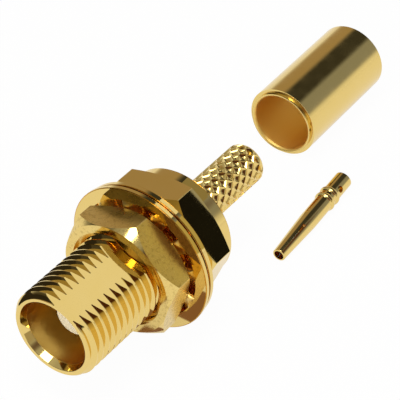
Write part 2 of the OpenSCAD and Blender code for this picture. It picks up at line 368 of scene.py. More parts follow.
def eased(corners):
    """Outline whose corners, given as (radius, height, round), are replaced by arcs of that radius. A point close
    beside each arc keeps the shading of the straight stretch next to it straight."""
    points = []
    for i, (r, z, *rounding) in enumerate(corners):
        here = Vector((r, z))
        if not rounding:
            points.append(here)
            continue
        a = Vector(corners[i - 1][:2]) - here
        b = Vector(corners[(i + 1) % len(corners)][:2]) - here
        a.normalize()
        b.normalize()
        half = a.angle(b) / 2
        centre = here + (a + b).normalized() * (rounding[0] / math.sin(half))
        start = here + a * (rounding[0] / math.tan(half)) - centre
        sweep = math.pi - 2 * half
        side = 1 if start.x * b.y - start.y * b.x > 0 else -1
        reach = rounding[0] / math.tan(half) + HOLD * rounding[0]
        points.append(here + a * reach)
        for k in range(ARC_STEPS + 1):
            c, s = math.cos(side * sweep * k / ARC_STEPS), math.sin(side * sweep * k / ARC_STEPS)
            points.append(centre + Vector((start.x * c - start.y * s, start.x * s + start.y * c)))
        points.append(here + b * reach)
    return points


# %% Lathe
TURN_STEPS = 144
DOUBLES = 1e-6
ON_AXIS = 1e-9


def new_piece(name, mesh):
    """Object in the scene that holds a mesh."""
    piece = bpy.data.objects.new(name, mesh)
    scene.collection.objects.link(piece)
    return piece


def from_bmesh(name, bm):
    """Closes a bmesh's doubles, turns its faces outwards and makes it a piece."""
    bmesh.ops.remove_doubles(bm, verts=bm.verts, dist=DOUBLES)
    bmesh.ops.recalc_face_normals(bm, faces=bm.faces)
    if bm.calc_volume(signed=True) < 0:
        bmesh.ops.reverse_faces(bm, faces=bm.faces)
    mesh = bpy.data.meshes.new(name)
    bm.to_mesh(mesh)
    bm.free()
    return new_piece(name, mesh)


def turned(name, corners, steps=TURN_STEPS):
    """Solid of revolution about Z. An outline that leaves the axis out makes a ring."""
    bm = bmesh.new()
    outline = eased(corners)
    rings = []
    for point in outline:
        count = steps if point.x > ON_AXIS else 1
        ring = [bm.verts.new((point.x * math.cos(math.tau * k / steps), point.x * math.sin(math.tau * k / steps),
                              point.y)) for k in range(count)]
        rings.append(ring)
    for low, high in zip(rings, rings[1:] + rings[:1]):
        for k in range(steps):
            corner = [low[k % len(low)], low[(k + 1) % len(low)], high[(k + 1) % len(high)], high[k % len(high)]]
            loop = list(dict.fromkeys(corner))
            if len(loop) > 2:
                bm.faces.new(loop)
    return from_bmesh(name, bm)


# %% [markdown]
# ## Cutting, joining and laying down
# A piece is put together from closed solids with booleans, as it is cut on a machine. When it is whole, it is laid
# down in its place. Its shading is smooth, but broad flat faces get sharp borders, so that they mirror as flat ones.

# %% Booleans and edges
SHARP_ANGLE = math.radians(31)


def make_plain(piece):
    """Turns a piece and its modifiers into one plain mesh."""
    graph = bpy.context.evaluated_depsgraph_get()
    mesh = bpy.data.meshes.new_from_object(piece.evaluated_get(graph))
    piece.modifiers.clear()
    piece.data = mesh
    return piece


def combine(piece, operation, *tools):
    """Joins, cuts or keeps a piece by other closed pieces, which are then used up."""
    for tool in tools:
        modifier = piece.modifiers.new("combine", "BOOLEAN")
        modifier.operation = operation
        modifier.solver = "MANIFOLD"
        modifier.object = tool
    make_plain(piece)
    for tool in tools:
        bpy.data.objects.remove(tool)
    return piece


def rounded_edges(piece, width):
    """Rounds every sharp edge of a piece."""
    modifier = piece.modifiers.new("edges", "BEVEL")
    modifier.width = width
    modifier.segments = 2
    modifier.limit_method = "ANGLE"
    modifier.angle_limit = SHARP_ANGLE
    return make_plain(piece)


# %% Laying a piece down
BROAD = 1.5
FRONT_UP = Matrix.Rotation(math.radians(90), 4, "X")


def lay(piece, place):
    """Moves a piece from its drawing in millimetres to its place in the frame, in metres, and shades it smoothly,
    with a sharp edge round each broad flat face."""
    mesh = piece.data
    broad = [face.area > BROAD for face in mesh.polygons]
    mesh.transform(Matrix.Scale(MM, 4) @ place)
    mesh.shade_smooth()
    mesh.set_sharp_from_angle(angle=SHARP_ANGLE)
    for face in mesh.polygons:
        if broad[face.index]:
            for loop in face.loop_indices:
                mesh.edges[mesh.loops[loop].edge_index].use_edge_sharp = True
    print(piece.name, "laid, with", sum(broad), "broad flat faces")
    return piece


# %% [markdown]
# ## Trees that make shapes
# The thread, the knurl and the washer's teeth each follow a rule, so each is a geometry tree with named sizes. The
# tree's result is turned into a plain mesh at once, and from there on it is cut and joined like any other solid.

# %% Shape trees
MERGE = 1e-4
CAP_REACH = 100.0


def shape_tree(name, **sizes):
    """New geometry tree with named sizes, and the sockets that carry them."""
    tree = bpy.data.node_groups.new(name, "GeometryNodeTree")
    tree.interface.new_socket("Geometry", in_out="OUTPUT", socket_type="NodeSocketGeometry")
    for size, value in sizes.items():
        socket = tree.interface.new_socket(size, in_out="INPUT", socket_type=SOCKETS[type(value)])
        socket.default_value = value
    return tree, tree.nodes.new("NodeGroupInput").outputs


def grown(name, tree, geometry, finish, **sizes):
    """Piece that a tree makes from the given sizes, as a plain mesh."""
    whole = add(tree, "GeometryNodeRealizeInstances", geometry).outputs[0]
    whole = add(tree, "GeometryNodeSetMaterial", whole, None, FINISHES[finish]).outputs[0]
    add(tree, "NodeGroupOutput", whole)
    piece = new_piece(name, bpy.data.meshes.new(name))
    modifier = piece.modifiers.new("shape", "NODES")
    modifier.node_group = tree
    for item in tree.interface.items_tree:
        if item.name in sizes:
            modifier[item.identifier] = sizes[item.name]
    make_plain(piece)
    print(name, "grown with", len(piece.data.polygons), "faces")
    return piece


def close_ends(tree, geometry, middle):
    """Closes both open ends of a tube-like surface with long cones to the axis, which are cut off later."""
    rim = add(tree, "GeometryNodeInputMeshEdgeNeighbors").outputs[0]
    rim = add(tree, "FunctionNodeCompare", rim, 1, data_type="INT", operation="EQUAL").outputs[0]
    fan = add(tree, "GeometryNodeExtrudeMesh", geometry, rim, None, 0.0, mode="EDGES")
    height = add(tree, "ShaderNodeSeparateXYZ", add(tree, "GeometryNodeInputPosition").outputs[0]).outputs[2]
    side = maths(tree, "SIGN", maths(tree, "SUBTRACT", height, middle))
    far = maths(tree, "MULTIPLY_ADD", side, CAP_REACH, middle)
    tip = add(tree, "ShaderNodeCombineXYZ", 0, 0, far).outputs[0]
    drawn = add(tree, "GeometryNodeSetPosition", fan.outputs[0], fan.outputs[1], tip).outputs[0]
    return add(tree, "GeometryNodeMergeByDistance", drawn, None, MERGE).outputs[0]


def wrapped(tree, radius, angle, height):
    """Point on a cylinder about Z."""
    x = maths(tree, "MULTIPLY", radius, maths(tree, "COSINE", angle))
    y = maths(tree, "MULTIPLY", radius, maths(tree, "SINE", angle))
    return add(tree, "ShaderNodeCombineXYZ", x, y, height).outputs[0]


# %% [markdown]
# ## The thread
# A thread could be a bump in the material, but its crests make the saw-toothed edge along the flat, so it has to
# be real. The tree bends one long strip round and round the axis: its length becomes the angle, and its width
# becomes one pitch of the profile. Each turn meets the next exactly, so merging the doubles closes the surface.

# %% Thread tree
PITCH = 0.6
THREAD_R = 3.175
THREAD_DEPTH = 0.37
CREST_SHARE = 0.875
ROOT_SHARE = 0.125
TURN_CUTS = 120
PROFILE_CUTS = 16
SPARE_TURNS = 2


def thread(name, finish, crest_r, length):
    """Closed rod with a right-hand thread, which reaches past both ends of a length."""
    tree, size = shape_tree(name, **{"Crest Radius": 1.0, "Depth": 1.0, "Pitch": 1.0, "Start": 0.0, "Turns": 1,
                                     "Steps": TURN_CUTS, "Stations": PROFILE_CUTS})
    columns = maths(tree, "MULTIPLY_ADD", size["Turns"], size["Steps"], 1.0)
    rows = maths(tree, "ADD", size["Stations"], 1.0)
    strip = add(tree, "GeometryNodeMeshGrid", 1.0, 1.0, columns, rows).outputs[0]
    flat = add(tree, "ShaderNodeSeparateXYZ", add(tree, "GeometryNodeInputPosition").outputs[0])
    turn_at = maths(tree, "MULTIPLY", maths(tree, "ADD", flat.outputs[0], 0.5), size["Turns"])
    angle = maths(tree, "MULTIPLY", turn_at, math.tau)
    across = maths(tree, "ADD", flat.outputs[1], 0.5)
    rise = maths(tree, "MULTIPLY_ADD", maths(tree, "ADD", turn_at, across), size["Pitch"], size["Start"])
    from_root = maths(tree, "ABSOLUTE", maths(tree, "MULTIPLY", flat.outputs[1], 2.0))
    drop = add(tree, "ShaderNodeMapRange", from_root, ROOT_SHARE, CREST_SHARE, 1.0, 0.0).outputs[0]
    radius = maths(tree, "SUBTRACT", size["Crest Radius"], maths(tree, "MULTIPLY", drop, size["Depth"]))
    coil = add(tree, "GeometryNodeSetPosition", strip, None, wrapped(tree, radius, angle, rise)).outputs[0]
    coil = add(tree, "GeometryNodeMergeByDistance", coil, None, MERGE).outputs[0]
    middle = maths(tree, "MULTIPLY_ADD", maths(tree, "MULTIPLY", size["Turns"], 0.5), size["Pitch"], size["Start"])
    rod = close_ends(tree, coil, middle)
    return grown(name, tree, rod, finish, **{"Crest Radius": crest_r, "Depth": THREAD_DEPTH, "Pitch": PITCH,
                                             "Start": -SPARE_TURNS * PITCH,
                                             "Turns": math.ceil(length / PITCH) + 2 * SPARE_TURNS})


# %% [markdown]
# ## Hexagons
# The body and the nut both have a hexagon whose corners are turned off at the ends. The hexagon is a prism, and a
# lathe blank with a cone at each end takes the corners off, which leaves the curved edges that such parts show.

# %% Hexagon helper
CORNER_ROUND = 0.05
OVERSHOOT = 1.3


def prism(name, outline, low, high):
    """Upright prism on a flat outline of (x, y) points."""
    bm = bmesh.new()
    rings = [[bm.verts.new((x, y, z)) for x, y in outline] for z in (low, high)]
    for ring in rings:
        bm.faces.new(ring)
    for k in range(len(outline)):
        bm.faces.new((rings[0][k - 1], rings[0][k], rings[1][k], rings[1][k - 1]))
    return from_bmesh(name, bm)


def hexagon(name, flats, corner_angle, low, high, low_run, high_run):
    """Hexagon with a corner at an angle, its corners cut by a cone of the given run at each end."""
    flat_r = flats / 2
    corner_r = flat_r / math.cos(math.pi / 6)
    spots = [corner_angle + k * math.pi / 3 for k in range(6)]
    outline = eased([(corner_r * math.cos(a), corner_r * math.sin(a), CORNER_ROUND) for a in spots])
    piece = prism(name, outline, low, high)
    wide = flat_r + (corner_r - flat_r) * OVERSHOOT
    blank = turned("blank", [(0, low), (flat_r, low), (wide, low + low_run * OVERSHOOT),
                             (wide, high - high_run * OVERSHOOT), (flat_r, high), (0, high)])
    return combine(piece, "INTERSECT", blank)


# %% [markdown]
# ## The knurl
# The stem is rolled between two cutters, which leave a net of low ridges with rows of diamond-shaped pits in it.
# The tree lays a lattice of square cells on the cylinder, standing on their corners, and sinks every cell by itself
# in a few steps that get smaller, so that each pit is a little bowl and the net between them stays at full width.

# %% Knurl tree
KNURL_STARTS = 13
KNURL_PITCH = 0.83
KNURL_DEPTH = 0.10
RIDGE_GAP = 0.002
KNURL_STEPS = ((0.35, 0.78), (0.4, 0.62), (0.25, 0.5))  # share of the depth, and size left after each step
SPARE_ROWS = 2


def knurl(name, finish, ridge_r, low, high):
    """Closed rod covered in diamond-shaped pits, which reaches past both heights."""
    tree, size = shape_tree(name, **{"Ridge Radius": 1.0, "Depth": 0.1, "Pitch": 1.0, "Top": 0.0, "Starts": 1,
                                     "Rows": 1})
    columns = maths(tree, "ADD", size["Starts"], 1.0)
    rows = maths(tree, "ADD", size["Rows"], 1.0)
    lattice = add(tree, "GeometryNodeMeshGrid", 1.0, 1.0, columns, rows).outputs[0]
    flat = add(tree, "ShaderNodeSeparateXYZ", add(tree, "GeometryNodeInputPosition").outputs[0])
    one_way = maths(tree, "MULTIPLY", maths(tree, "ADD", flat.outputs[0], 0.5), size["Starts"])
    other_way = maths(tree, "MULTIPLY", maths(tree, "ADD", flat.outputs[1], 0.5), size["Rows"])
    angle = maths(tree, "MULTIPLY", maths(tree, "DIVIDE", maths(tree, "ADD", one_way, other_way), size["Starts"]),
                  math.pi)
    step = maths(tree, "MULTIPLY", maths(tree, "SUBTRACT", one_way, other_way), 0.5)
    height = maths(tree, "MULTIPLY_ADD", step, size["Pitch"], size["Top"])
    cells = add(tree, "GeometryNodeSetPosition", lattice, None,
                wrapped(tree, size["Ridge Radius"], angle, height)).outputs[0]
    net = add(tree, "GeometryNodeMergeByDistance", cells, None, MERGE).outputs[0]
    net = add(tree, "GeometryNodeFlipFaces", net).outputs[0]
    floors = None
    for drop, shrink in KNURL_STEPS:
        inwards = maths(tree, "MULTIPLY", size["Depth"], -drop)
        sunk = add(tree, "GeometryNodeExtrudeMesh", net, floors, None, inwards, True)
        floors = sunk.outputs[1]
        net = add(tree, "GeometryNodeScaleElements", sunk.outputs[0], floors, shrink).outputs[0]
    net = add(tree, "GeometryNodeMergeByDistance", net, None, MERGE).outputs[0]
    rod = close_ends(tree, net, (low + high) / 2)
    reach = math.ceil((high - low) / KNURL_PITCH) + SPARE_ROWS
    return grown(name, tree, rod, finish, **{"Ridge Radius": ridge_r, "Depth": KNURL_DEPTH, "Pitch": KNURL_PITCH,
                                             "Top": high + KNURL_PITCH, "Starts": KNURL_STARTS,
                                             "Rows": KNURL_STARTS + 2 * reach})


# %% [markdown]
# ## The body
# Barrel, flange, hexagon and stem are one turned piece on the real jack, so here they are joined into one closed
# mesh, and then the stepped hole is bored. The barrel is a threaded rod, cut to the shape of a lathe blank, and a
# block mills its flat, which keeps the jack from turning in its panel hole. The stem is a knurled rod, cut likewise.

# %% Barrel
RIM_R = 2.9
LEAD_LEN = 0.35
FLAT_ANGLE = math.radians(68)
FLAT_REACH = 2.7
ROLL = math.pi / 2 - FLAT_ANGLE
EDGE = 0.05
SINK = 0.15
PAST = 1.0


def barrel():
    """Threaded barrel with its lead-in."""
    lead_slope = LEAD_LEN / (THREAD_R - RIM_R)
    wide = THREAD_R + PAST
    blank = turned("blank", [(0, -SINK), (wide, -SINK), (wide, BARREL_LEN - (wide - RIM_R) * lead_slope),
                             (RIM_R, BARREL_LEN, EDGE), (0, BARREL_LEN)])
    rod = thread("rod", "gold_body", THREAD_R, BARREL_LEN)
    return combine(rod, "INTERSECT", blank)


def flat_cutter():
    """Block that mills the flat along the barrel."""
    wide = THREAD_R + PAST
    outline = [(-wide, FLAT_REACH), (wide, FLAT_REACH), (wide, wide), (-wide, wide)]
    block = prism("mill", outline, 0, BARREL_LEN + PAST)
    block.data.transform(Matrix.Rotation(-ROLL, 4, "Z"))
    return block


print("barrel", round(BARREL_LEN, 3), "mm long, flat", FLAT_REACH, "mm from its axis")

# %% Stem
STEM_BACK = -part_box("body")[1].y / MM
FLANGE_BACK = -0.4
COLLAR_BACK = FLANGE_BACK - 3.8
NECK_R = 1.4
NECK_BACK = COLLAR_BACK - 0.5
STEM_R = 1.52
STEM_BEVEL = 0.28
STEM_ROUND = 0.12
STEM_END = 0.45


def stem():
    """Knurled crimp stem with its plain neck."""
    rise = STEM_R - NECK_R
    blank = turned("blank", [(0, COLLAR_BACK), (STEM_R, COLLAR_BACK), (STEM_R, STEM_BACK + STEM_BEVEL, STEM_ROUND),
                             (STEM_R - STEM_BEVEL, STEM_BACK, STEM_ROUND), (0, STEM_BACK)])
    net = knurl("stem", "gold_body", STEM_R - RIDGE_GAP, STEM_BACK, NECK_BACK - rise)
    rod = combine(net, "INTERSECT", blank)
    tip_r = STEM_R - EDGE
    tip = turned("tip", [(0, STEM_BACK + STEM_END), (tip_r, STEM_BACK + STEM_END), (tip_r, STEM_BACK, STEM_BEVEL),
                         (0, STEM_BACK)])
    combine(rod, "UNION", tip)
    groove = turned("groove", [(NECK_R, COLLAR_BACK + SINK), (STEM_R + PAST, COLLAR_BACK + SINK),
                               (STEM_R + PAST, NECK_BACK - rise - PAST), (NECK_R, NECK_BACK)])
    rod = combine(rod, "DIFFERENCE", groove)
    neck = turned("neck", [(0, COLLAR_BACK + SINK), (NECK_R, COLLAR_BACK + SINK), (NECK_R, NECK_BACK - rise),
                           (0, NECK_BACK - rise)])
    return combine(rod, "UNION", neck)


print("stem", round(COLLAR_BACK - STEM_BACK, 3), "mm long")

# %% Bore
MOUTH_R = 2.6
MOUTH_LEN = 0.5
BORE_R = 2.4
WALL_AT = BARREL_LEN - 1.9
BOTTOM_R = 2.15
BOTTOM_AT = BARREL_LEN - 3.6
SEAT_R = 1.6
TAIL_AT = -0.6
CABLE_R = 1.05


def bore():
    """Stepped hole through the body, flared a little above the rim to round the mouth's edge."""
    return turned("bore", [(0, BARREL_LEN + PAST), (RIM_R, BARREL_LEN + PAST), (RIM_R, BARREL_LEN + EDGE),
                           (MOUTH_R, BARREL_LEN, EDGE), (BORE_R, BARREL_LEN - MOUTH_LEN, EDGE), (BORE_R, WALL_AT),
                           (BOTTOM_R, BOTTOM_AT, EDGE), (SEAT_R, BOTTOM_AT), (SEAT_R, TAIL_AT), (CABLE_R, TAIL_AT),
                           (CABLE_R, STEM_BACK - PAST), (0, STEM_BACK - PAST)])


print("bore", BORE_R, "mm in radius at the front,", CABLE_R, "mm at the back")

# %% Body
FLANGE_R = 5.3
COLLAR_R = 4.1
HEX_FLATS = 8.5
HEX_FRONT = FLANGE_BACK - 0.45
HEX_BACK = HEX_FRONT - 2.3
HEX_RUN = 0.5
HEX_BACK_RUN = 0.3


def body():
    """The whole turned body, closed and bored."""
    flange = turned("flange", [(0, FLANGE_BACK), (FLANGE_R, FLANGE_BACK, EDGE), (FLANGE_R, 0, EDGE), (0, 0)])
    collar = turned("collar", [(0, COLLAR_BACK), (COLLAR_R, COLLAR_BACK, 2 * EDGE), (COLLAR_R, -SINK), (0, -SINK)])
    bar = hexagon("bar", HEX_FLATS, FLAT_ANGLE, HEX_BACK, HEX_FRONT, HEX_BACK_RUN, HEX_RUN)
    piece = combine(barrel(), "DIFFERENCE", flat_cutter())
    combine(piece, "UNION", flange, collar, bar, stem())
    combine(piece, "DIFFERENCE", bore())
    piece.name = "body_turned"
    return lay(piece, FRONT_UP)


body_piece = body()

# %% [markdown]
# ## Insulator, nut and washer
# The insulator is a plain turned plug. The nut is cut by the same thread as the barrel, a little larger. Its sides
# are milled and its ends are turned bright, so the mesh marks the sides for the finish. The washer's teeth are one
# small plate, twisted as it leaves the ring and repeated round it by a tree.

# %% Insulator
NOSE_R = 1.2
NOSE_AT = BARREL_LEN - 1.94
SHOULDER_AT = BARREL_LEN - 4.4
INSULATOR_GAP = 0.02
PIN_HOLE_R = 0.45
PIN_HOLE_LEN = 0.5
CONTACT_HOLE_R = 0.68


def insulator():
    """White plug in the bore, with a hole for the contact."""
    tail_r = SEAT_R - INSULATOR_GAP
    step_at = NOSE_AT - PIN_HOLE_LEN
    piece = turned("insulator_plug", [(PIN_HOLE_R, NOSE_AT, EDGE), (NOSE_R, NOSE_AT, 2 * EDGE),
                                      (NOSE_R, SHOULDER_AT), (tail_r, SHOULDER_AT, EDGE), (tail_r, TAIL_AT),
                                      (CONTACT_HOLE_R, TAIL_AT), (CONTACT_HOLE_R, step_at), (PIN_HOLE_R, step_at)])
    return lay(piece, FRONT_UP)


insulator_piece = insulator()

# %% Nut
NUT_FLATS = 8.2
NUT_FRONT = -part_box("hex_nut")[0].y / MM
NUT_BACK = -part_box("hex_nut")[1].y / MM
NUT_RUN = 0.65
NUT_BACK_RUN = 0.5
NUT_SINK = 0.3
NUT_GAP = 0.05
NUT_ANGLE = FLAT_ANGLE + math.radians(6.5)
ENDWAYS = 0.1


def nut():
    """Hexagon nut with countersunk, threaded hole."""
    piece = hexagon("nut_finished", NUT_FLATS, NUT_ANGLE, NUT_BACK, NUT_FRONT, NUT_BACK_RUN, NUT_RUN)
    hole_r = THREAD_R + NUT_GAP
    wide = hole_r + NUT_SINK
    front = turned("sink", [(0, NUT_FRONT - wide), (wide, NUT_FRONT, EDGE), (wide + 3 * EDGE, NUT_FRONT + EDGE),
                            (wide + PAST, NUT_FRONT + PAST), (0, NUT_FRONT + PAST)])
    rear = turned("sink", [(0, NUT_BACK + wide), (wide, NUT_BACK), (wide + PAST, NUT_BACK - PAST),
                           (0, NUT_BACK - PAST)])
    tap = thread("tap", "gold_nut", hole_r, NUT_FRONT)
    lay(combine(piece, "DIFFERENCE", front, rear, tap), FRONT_UP)
    marks = piece.data.attributes.new(MILLED, "FLOAT", "FACE")
    for face in piece.data.polygons:
        aside = math.hypot(face.center.x, face.center.z) / MM
        marks.data[face.index].value = float(abs(face.normal.y) < ENDWAYS and aside > wide)
    print(piece.name, "has", sum(mark.value > 0 for mark in marks.data), "milled faces")
    return piece


nut_piece = nut()

# %% Lock washer
SHEET = 0.35
WASHER_MID = -(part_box("lock_washer")[0].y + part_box("lock_washer")[1].y) / 2 / MM
TEETH = 12
TOOTH_ROOT_W = 1.2
TOOTH_TIP_W = 0.9
TOOTH_TWIST = math.radians(18)
TOOTH_GAP = 0.15
TOOTH_LAP = 0.1
TWIST_RUN = 0.45
TOOTH_EDGE = 0.04
PLATE_CUTS = (14, 5, 2)


def teeth(name, finish, tip_r, root_r):
    """Ring of twisted teeth."""
    tree, size = shape_tree(name, **{"Count": 1, "Tip Radius": 1.0, "Root Radius": 2.0, "Tip Width": 1.0,
                                     "Root Width": 1.0, "Sheet": 0.1, "Twist": 0.1, "Twist Run": 1.0, "Start": 0.0})
    plate = add(tree, "GeometryNodeMeshCube", (1, 1, 1), *PLATE_CUTS).outputs[0]
    box = add(tree, "ShaderNodeSeparateXYZ", add(tree, "GeometryNodeInputPosition").outputs[0])
    along = maths(tree, "ADD", box.outputs[0], 0.5)
    radius = add(tree, "ShaderNodeMapRange", along, 0, 1, size["Tip Radius"], size["Root Radius"]).outputs[0]
    width = add(tree, "ShaderNodeMapRange", along, 0, 1, size["Tip Width"], size["Root Width"]).outputs[0]
    from_root = maths(tree, "SUBTRACT", size["Root Radius"], radius)
    twist = eased_step(tree, from_root, TOOTH_LAP, size["Twist Run"], 0, size["Twist"])
    across = maths(tree, "MULTIPLY", box.outputs[1], width)
    deep = maths(tree, "MULTIPLY", box.outputs[2], size["Sheet"])
    c, s = maths(tree, "COSINE", twist), maths(tree, "SINE", twist)
    y = maths(tree, "SUBTRACT", maths(tree, "MULTIPLY", across, c), maths(tree, "MULTIPLY", deep, s))
    z = maths(tree, "ADD", maths(tree, "MULTIPLY", across, s), maths(tree, "MULTIPLY", deep, c))
    tooth = add(tree, "GeometryNodeSetPosition", plate, None,
                add(tree, "ShaderNodeCombineXYZ", radius, y, z).outputs[0]).outputs[0]
    spots = add(tree, "GeometryNodeMeshLine", size["Count"], (0, 0, 0), (0, 0, 0)).outputs[0]
    share = maths(tree, "DIVIDE", add(tree, "GeometryNodeInputIndex").outputs[0], size["Count"])
    angle = maths(tree, "MULTIPLY_ADD", share, math.tau, size["Start"])
    turn_by = add(tree, "ShaderNodeCombineXYZ", 0, 0, angle).outputs[0]
    row = add(tree, "GeometryNodeInstanceOnPoints", spots, None, tooth, None, None, turn_by).outputs[0]
    return grown(name, tree, row, finish, **{"Count": TEETH, "Tip Radius": tip_r, "Root Radius": root_r,
                                             "Tip Width": TOOTH_TIP_W, "Root Width": TOOTH_ROOT_W, "Sheet": SHEET,
                                             "Twist": TOOTH_TWIST, "Twist Run": TWIST_RUN, "Start": -ROLL})


def washer():
    """Lock washer: a stamped ring with twisted teeth inside it."""
    ring_r = WASHER_R - RING_W
    low, high = -SHEET / 2, SHEET / 2
    piece = turned("washer_stamped", [(ring_r, low, EDGE), (WASHER_R, low, EDGE), (WASHER_R, high, EDGE),
                                      (ring_r, high, EDGE)])
    row = teeth("teeth", "gold_washer", THREAD_R + TOOTH_GAP, ring_r + TOOTH_LAP)
    combine(piece, "UNION", rounded_edges(row, TOOTH_EDGE))
    return lay(piece, FRONT_UP @ Matrix.Translation((0, 0, WASHER_MID)))


washer_piece = washer()

# %% [markdown]
# ## The loose sleeve and contact
# Both lie on the table behind the jack. They are drawn standing on their front ends, and then laid down. The
# sleeve's ends are rounded and rolled in a little, as a tube cutter would leave them. The contact is turned, drilled
# from both ends and slotted. Its fingers are pressed together, so the slot is all but closed at the tip.

# %% Sleeve
SLEEVE_LEN = 10.35
SLEEVE_ROUND = 0.24
SLEEVE_LIP = 0.08
LIP_ROUND = 0.14
LIP_LEN = 0.5


def laid(x, y, z, yaw):
    """Matrix that lays a standing piece down along +Y, with its foot at a place."""
    return Matrix.Translation((x, y, z)) @ Matrix.Rotation(yaw, 4, "Z") @ Matrix.Rotation(-math.pi / 2, 4, "X")


def sleeve():
    """Crimp sleeve, a length of tube with rounded ends that are rolled in a little."""
    inner = SLEEVE_R - SLEEVE_WALL
    lip = inner - SLEEVE_LIP
    piece = turned("sleeve_tube", [(lip, 0, LIP_ROUND), (SLEEVE_R, 0, SLEEVE_ROUND),
                                   (SLEEVE_R, SLEEVE_LEN, SLEEVE_ROUND), (lip, SLEEVE_LEN, LIP_ROUND),
                                   (inner, SLEEVE_LEN - LIP_LEN, LIP_ROUND), (inner, LIP_LEN, LIP_ROUND)])
    return lay(piece, laid(*SLEEVE_SPOT, TABLE_Z + SLEEVE_R, SLEEVE_YAW))


sleeve_piece = sleeve()

# %% Contact
CONTACT_LEN = 9.2
SHANK_R = 0.66
TIP_R = 0.475
TAPER_LEN = 3.9
SOCKET_R = 0.36
SOCKET_LEN = 3.6
SLOT_LEN = 3.1
SLOT_WAIST = 2.2
SLOT_ROOT_W = 0.24
SLOT_TIP_W = 0.004
RIDGE_R = 0.78
RIDGE_ROUND = 0.28
RIDGES_AT = (6.45, 7.15)
CUP_R = 0.42
CUP_LEN = 1.7
PEEP_R = 0.25
PEEP_AT = CONTACT_LEN - 1.4
SLOT_TURN = math.radians(63)
PEEP_TURN = math.radians(34)
CONTACT_SPOT = (4.25, 9.75)
CONTACT_YAW = math.radians(3.2)
RIDGE_STEPS = 8
FINE = 64


def ridge(height):
    """Outline points of one rounded ridge on the shank."""
    reach = math.acos((SHANK_R - RIDGE_R + RIDGE_ROUND) / RIDGE_ROUND)
    angles = [reach * (2 * k / RIDGE_STEPS - 1) for k in range(RIDGE_STEPS + 1)]
    middle = RIDGE_R - RIDGE_ROUND
    return [(middle + RIDGE_ROUND * math.cos(a), height + RIDGE_ROUND * math.sin(a)) for a in angles]


def contact():
    """Socket contact with two fingers, two ridges and a cup."""
    bumps = [point for height in RIDGES_AT for point in ridge(height)]
    piece = turned("contact_turned", [(0, 0), (TIP_R, 0, EDGE), (SHANK_R, TAPER_LEN), *bumps,
                                      (SHANK_R, CONTACT_LEN, EDGE), (0, CONTACT_LEN)], FINE)
    socket = turned("socket", [(0, -PAST), (SOCKET_R, -PAST), (SOCKET_R, SOCKET_LEN), (0, SOCKET_LEN)], FINE)
    cup = turned("cup", [(0, CONTACT_LEN - CUP_LEN), (CUP_R, CONTACT_LEN - CUP_LEN), (CUP_R, CONTACT_LEN + PAST),
                         (0, CONTACT_LEN + PAST)], FINE)
    peep = turned("peep", [(0, 0), (PEEP_R, 0), (PEEP_R, PAST), (0, PAST)], FINE)
    peep.data.transform(Matrix.Translation((0, 0, PEEP_AT)) @ Matrix.Rotation(-PEEP_TURN, 4, "Z")
                        @ Matrix.Rotation(math.pi / 2, 4, "Y"))
    tip, root = SLOT_TIP_W / 2, SLOT_ROOT_W / 2
    slot = prism("slot", [(-tip, -PAST), (tip, -PAST), (tip, SLOT_WAIST), (root, SLOT_LEN), (-root, SLOT_LEN),
                          (-tip, SLOT_WAIST)], -PAST, PAST)
    stand = Matrix(((0, 0, 1, 0), (1, 0, 0, 0), (0, 1, 0, 0), (0, 0, 0, 1)))
    slot.data.transform(Matrix.Rotation(-SLOT_TURN, 4, "Z") @ stand)
    combine(piece, "DIFFERENCE", socket, cup, peep, slot)
    lean = math.atan((RIDGE_R - TIP_R) / RIDGES_AT[0])
    place = laid(*CONTACT_SPOT, TABLE_Z + TIP_R / math.cos(lean), CONTACT_YAW) @ Matrix.Rotation(lean, 4, "X")
    return lay(piece, place)


contact_piece = contact()

# %% [markdown]
# ## Giving each piece its body and finish
# A piece moves with the body that carries it, hides the plain solid that it stands for, and has one finish.

# %% Bodies and finishes
PIECES = (
    (body_piece, "body", "connector", "gold_body"),
    (insulator_piece, "insulator", "connector", "white_insulator"),
    (nut_piece, "hex_nut", "nut", "gold_nut"),
    (washer_piece, "lock_washer", "washer", "gold_washer"),
    (sleeve_piece, "crimp_sleeve", "connector", "gold_sleeve"),
    (contact_piece, "centre_contact", "connector", "gold_contact"),
)
for piece, node, carrier, finish in PIECES:
    piece.data.materials.clear()
    piece.data.materials.append(FINISHES[finish])
    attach(piece, carrier)
    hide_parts(node)
    print(piece.name, "rides on", carrier, "with", len(piece.data.polygons), "faces")

# %% [markdown]
# ## The studio
# Polished gold has no colour of its own to show: it is a mirror that tints what stands round it. So the room
# matters as much as the metal. The floor is white, and the walls fade from white at the floor to grey. Some parts of
# the room are darker or tinted, and each is a soft round patch in the direction where it stands. Azimuth 0 is behind
# the jack and 90 is on its right.

# %% Room
ROOM = (
    # azimuth, elevation, full within, gone beyond (degrees), colour
    (-48, 30, 14, 30, (0.40, 0.31, 0.21)),
    (36, 30, 14, 24, (0.30, 0.32, 0.38)),
    (-2, 50, 15, 27, (0.045, 0.045, 0.045)),
    (-135, 5, 18, 40, (0.07, 0.06, 0.045)),
    (139, 31, 12, 24, (0.07, 0.05, 0.045)),
    (146, 19, 8, 16, (0.26, 0.10, 0.08)),
    (99, 11, 8, 20, (0.44, 0.40, 0.34)),
    (72, 43, 23, 28, (0.09, 0.04, 0.03)),
)
WALLS = ((0.0, 1.0), (0.5, 1.0), (0.545, 0.85), (0.63, 0.55), (0.71, 0.43), (0.93, 0.46), (1.0, 0.6))


def towards(azimuth, elevation):
    """Direction from an azimuth and an elevation in degrees."""
    a, e = math.radians(azimuth), math.radians(elevation)
    return Vector((math.sin(a) * math.cos(e), math.cos(a) * math.cos(e), math.sin(e)))


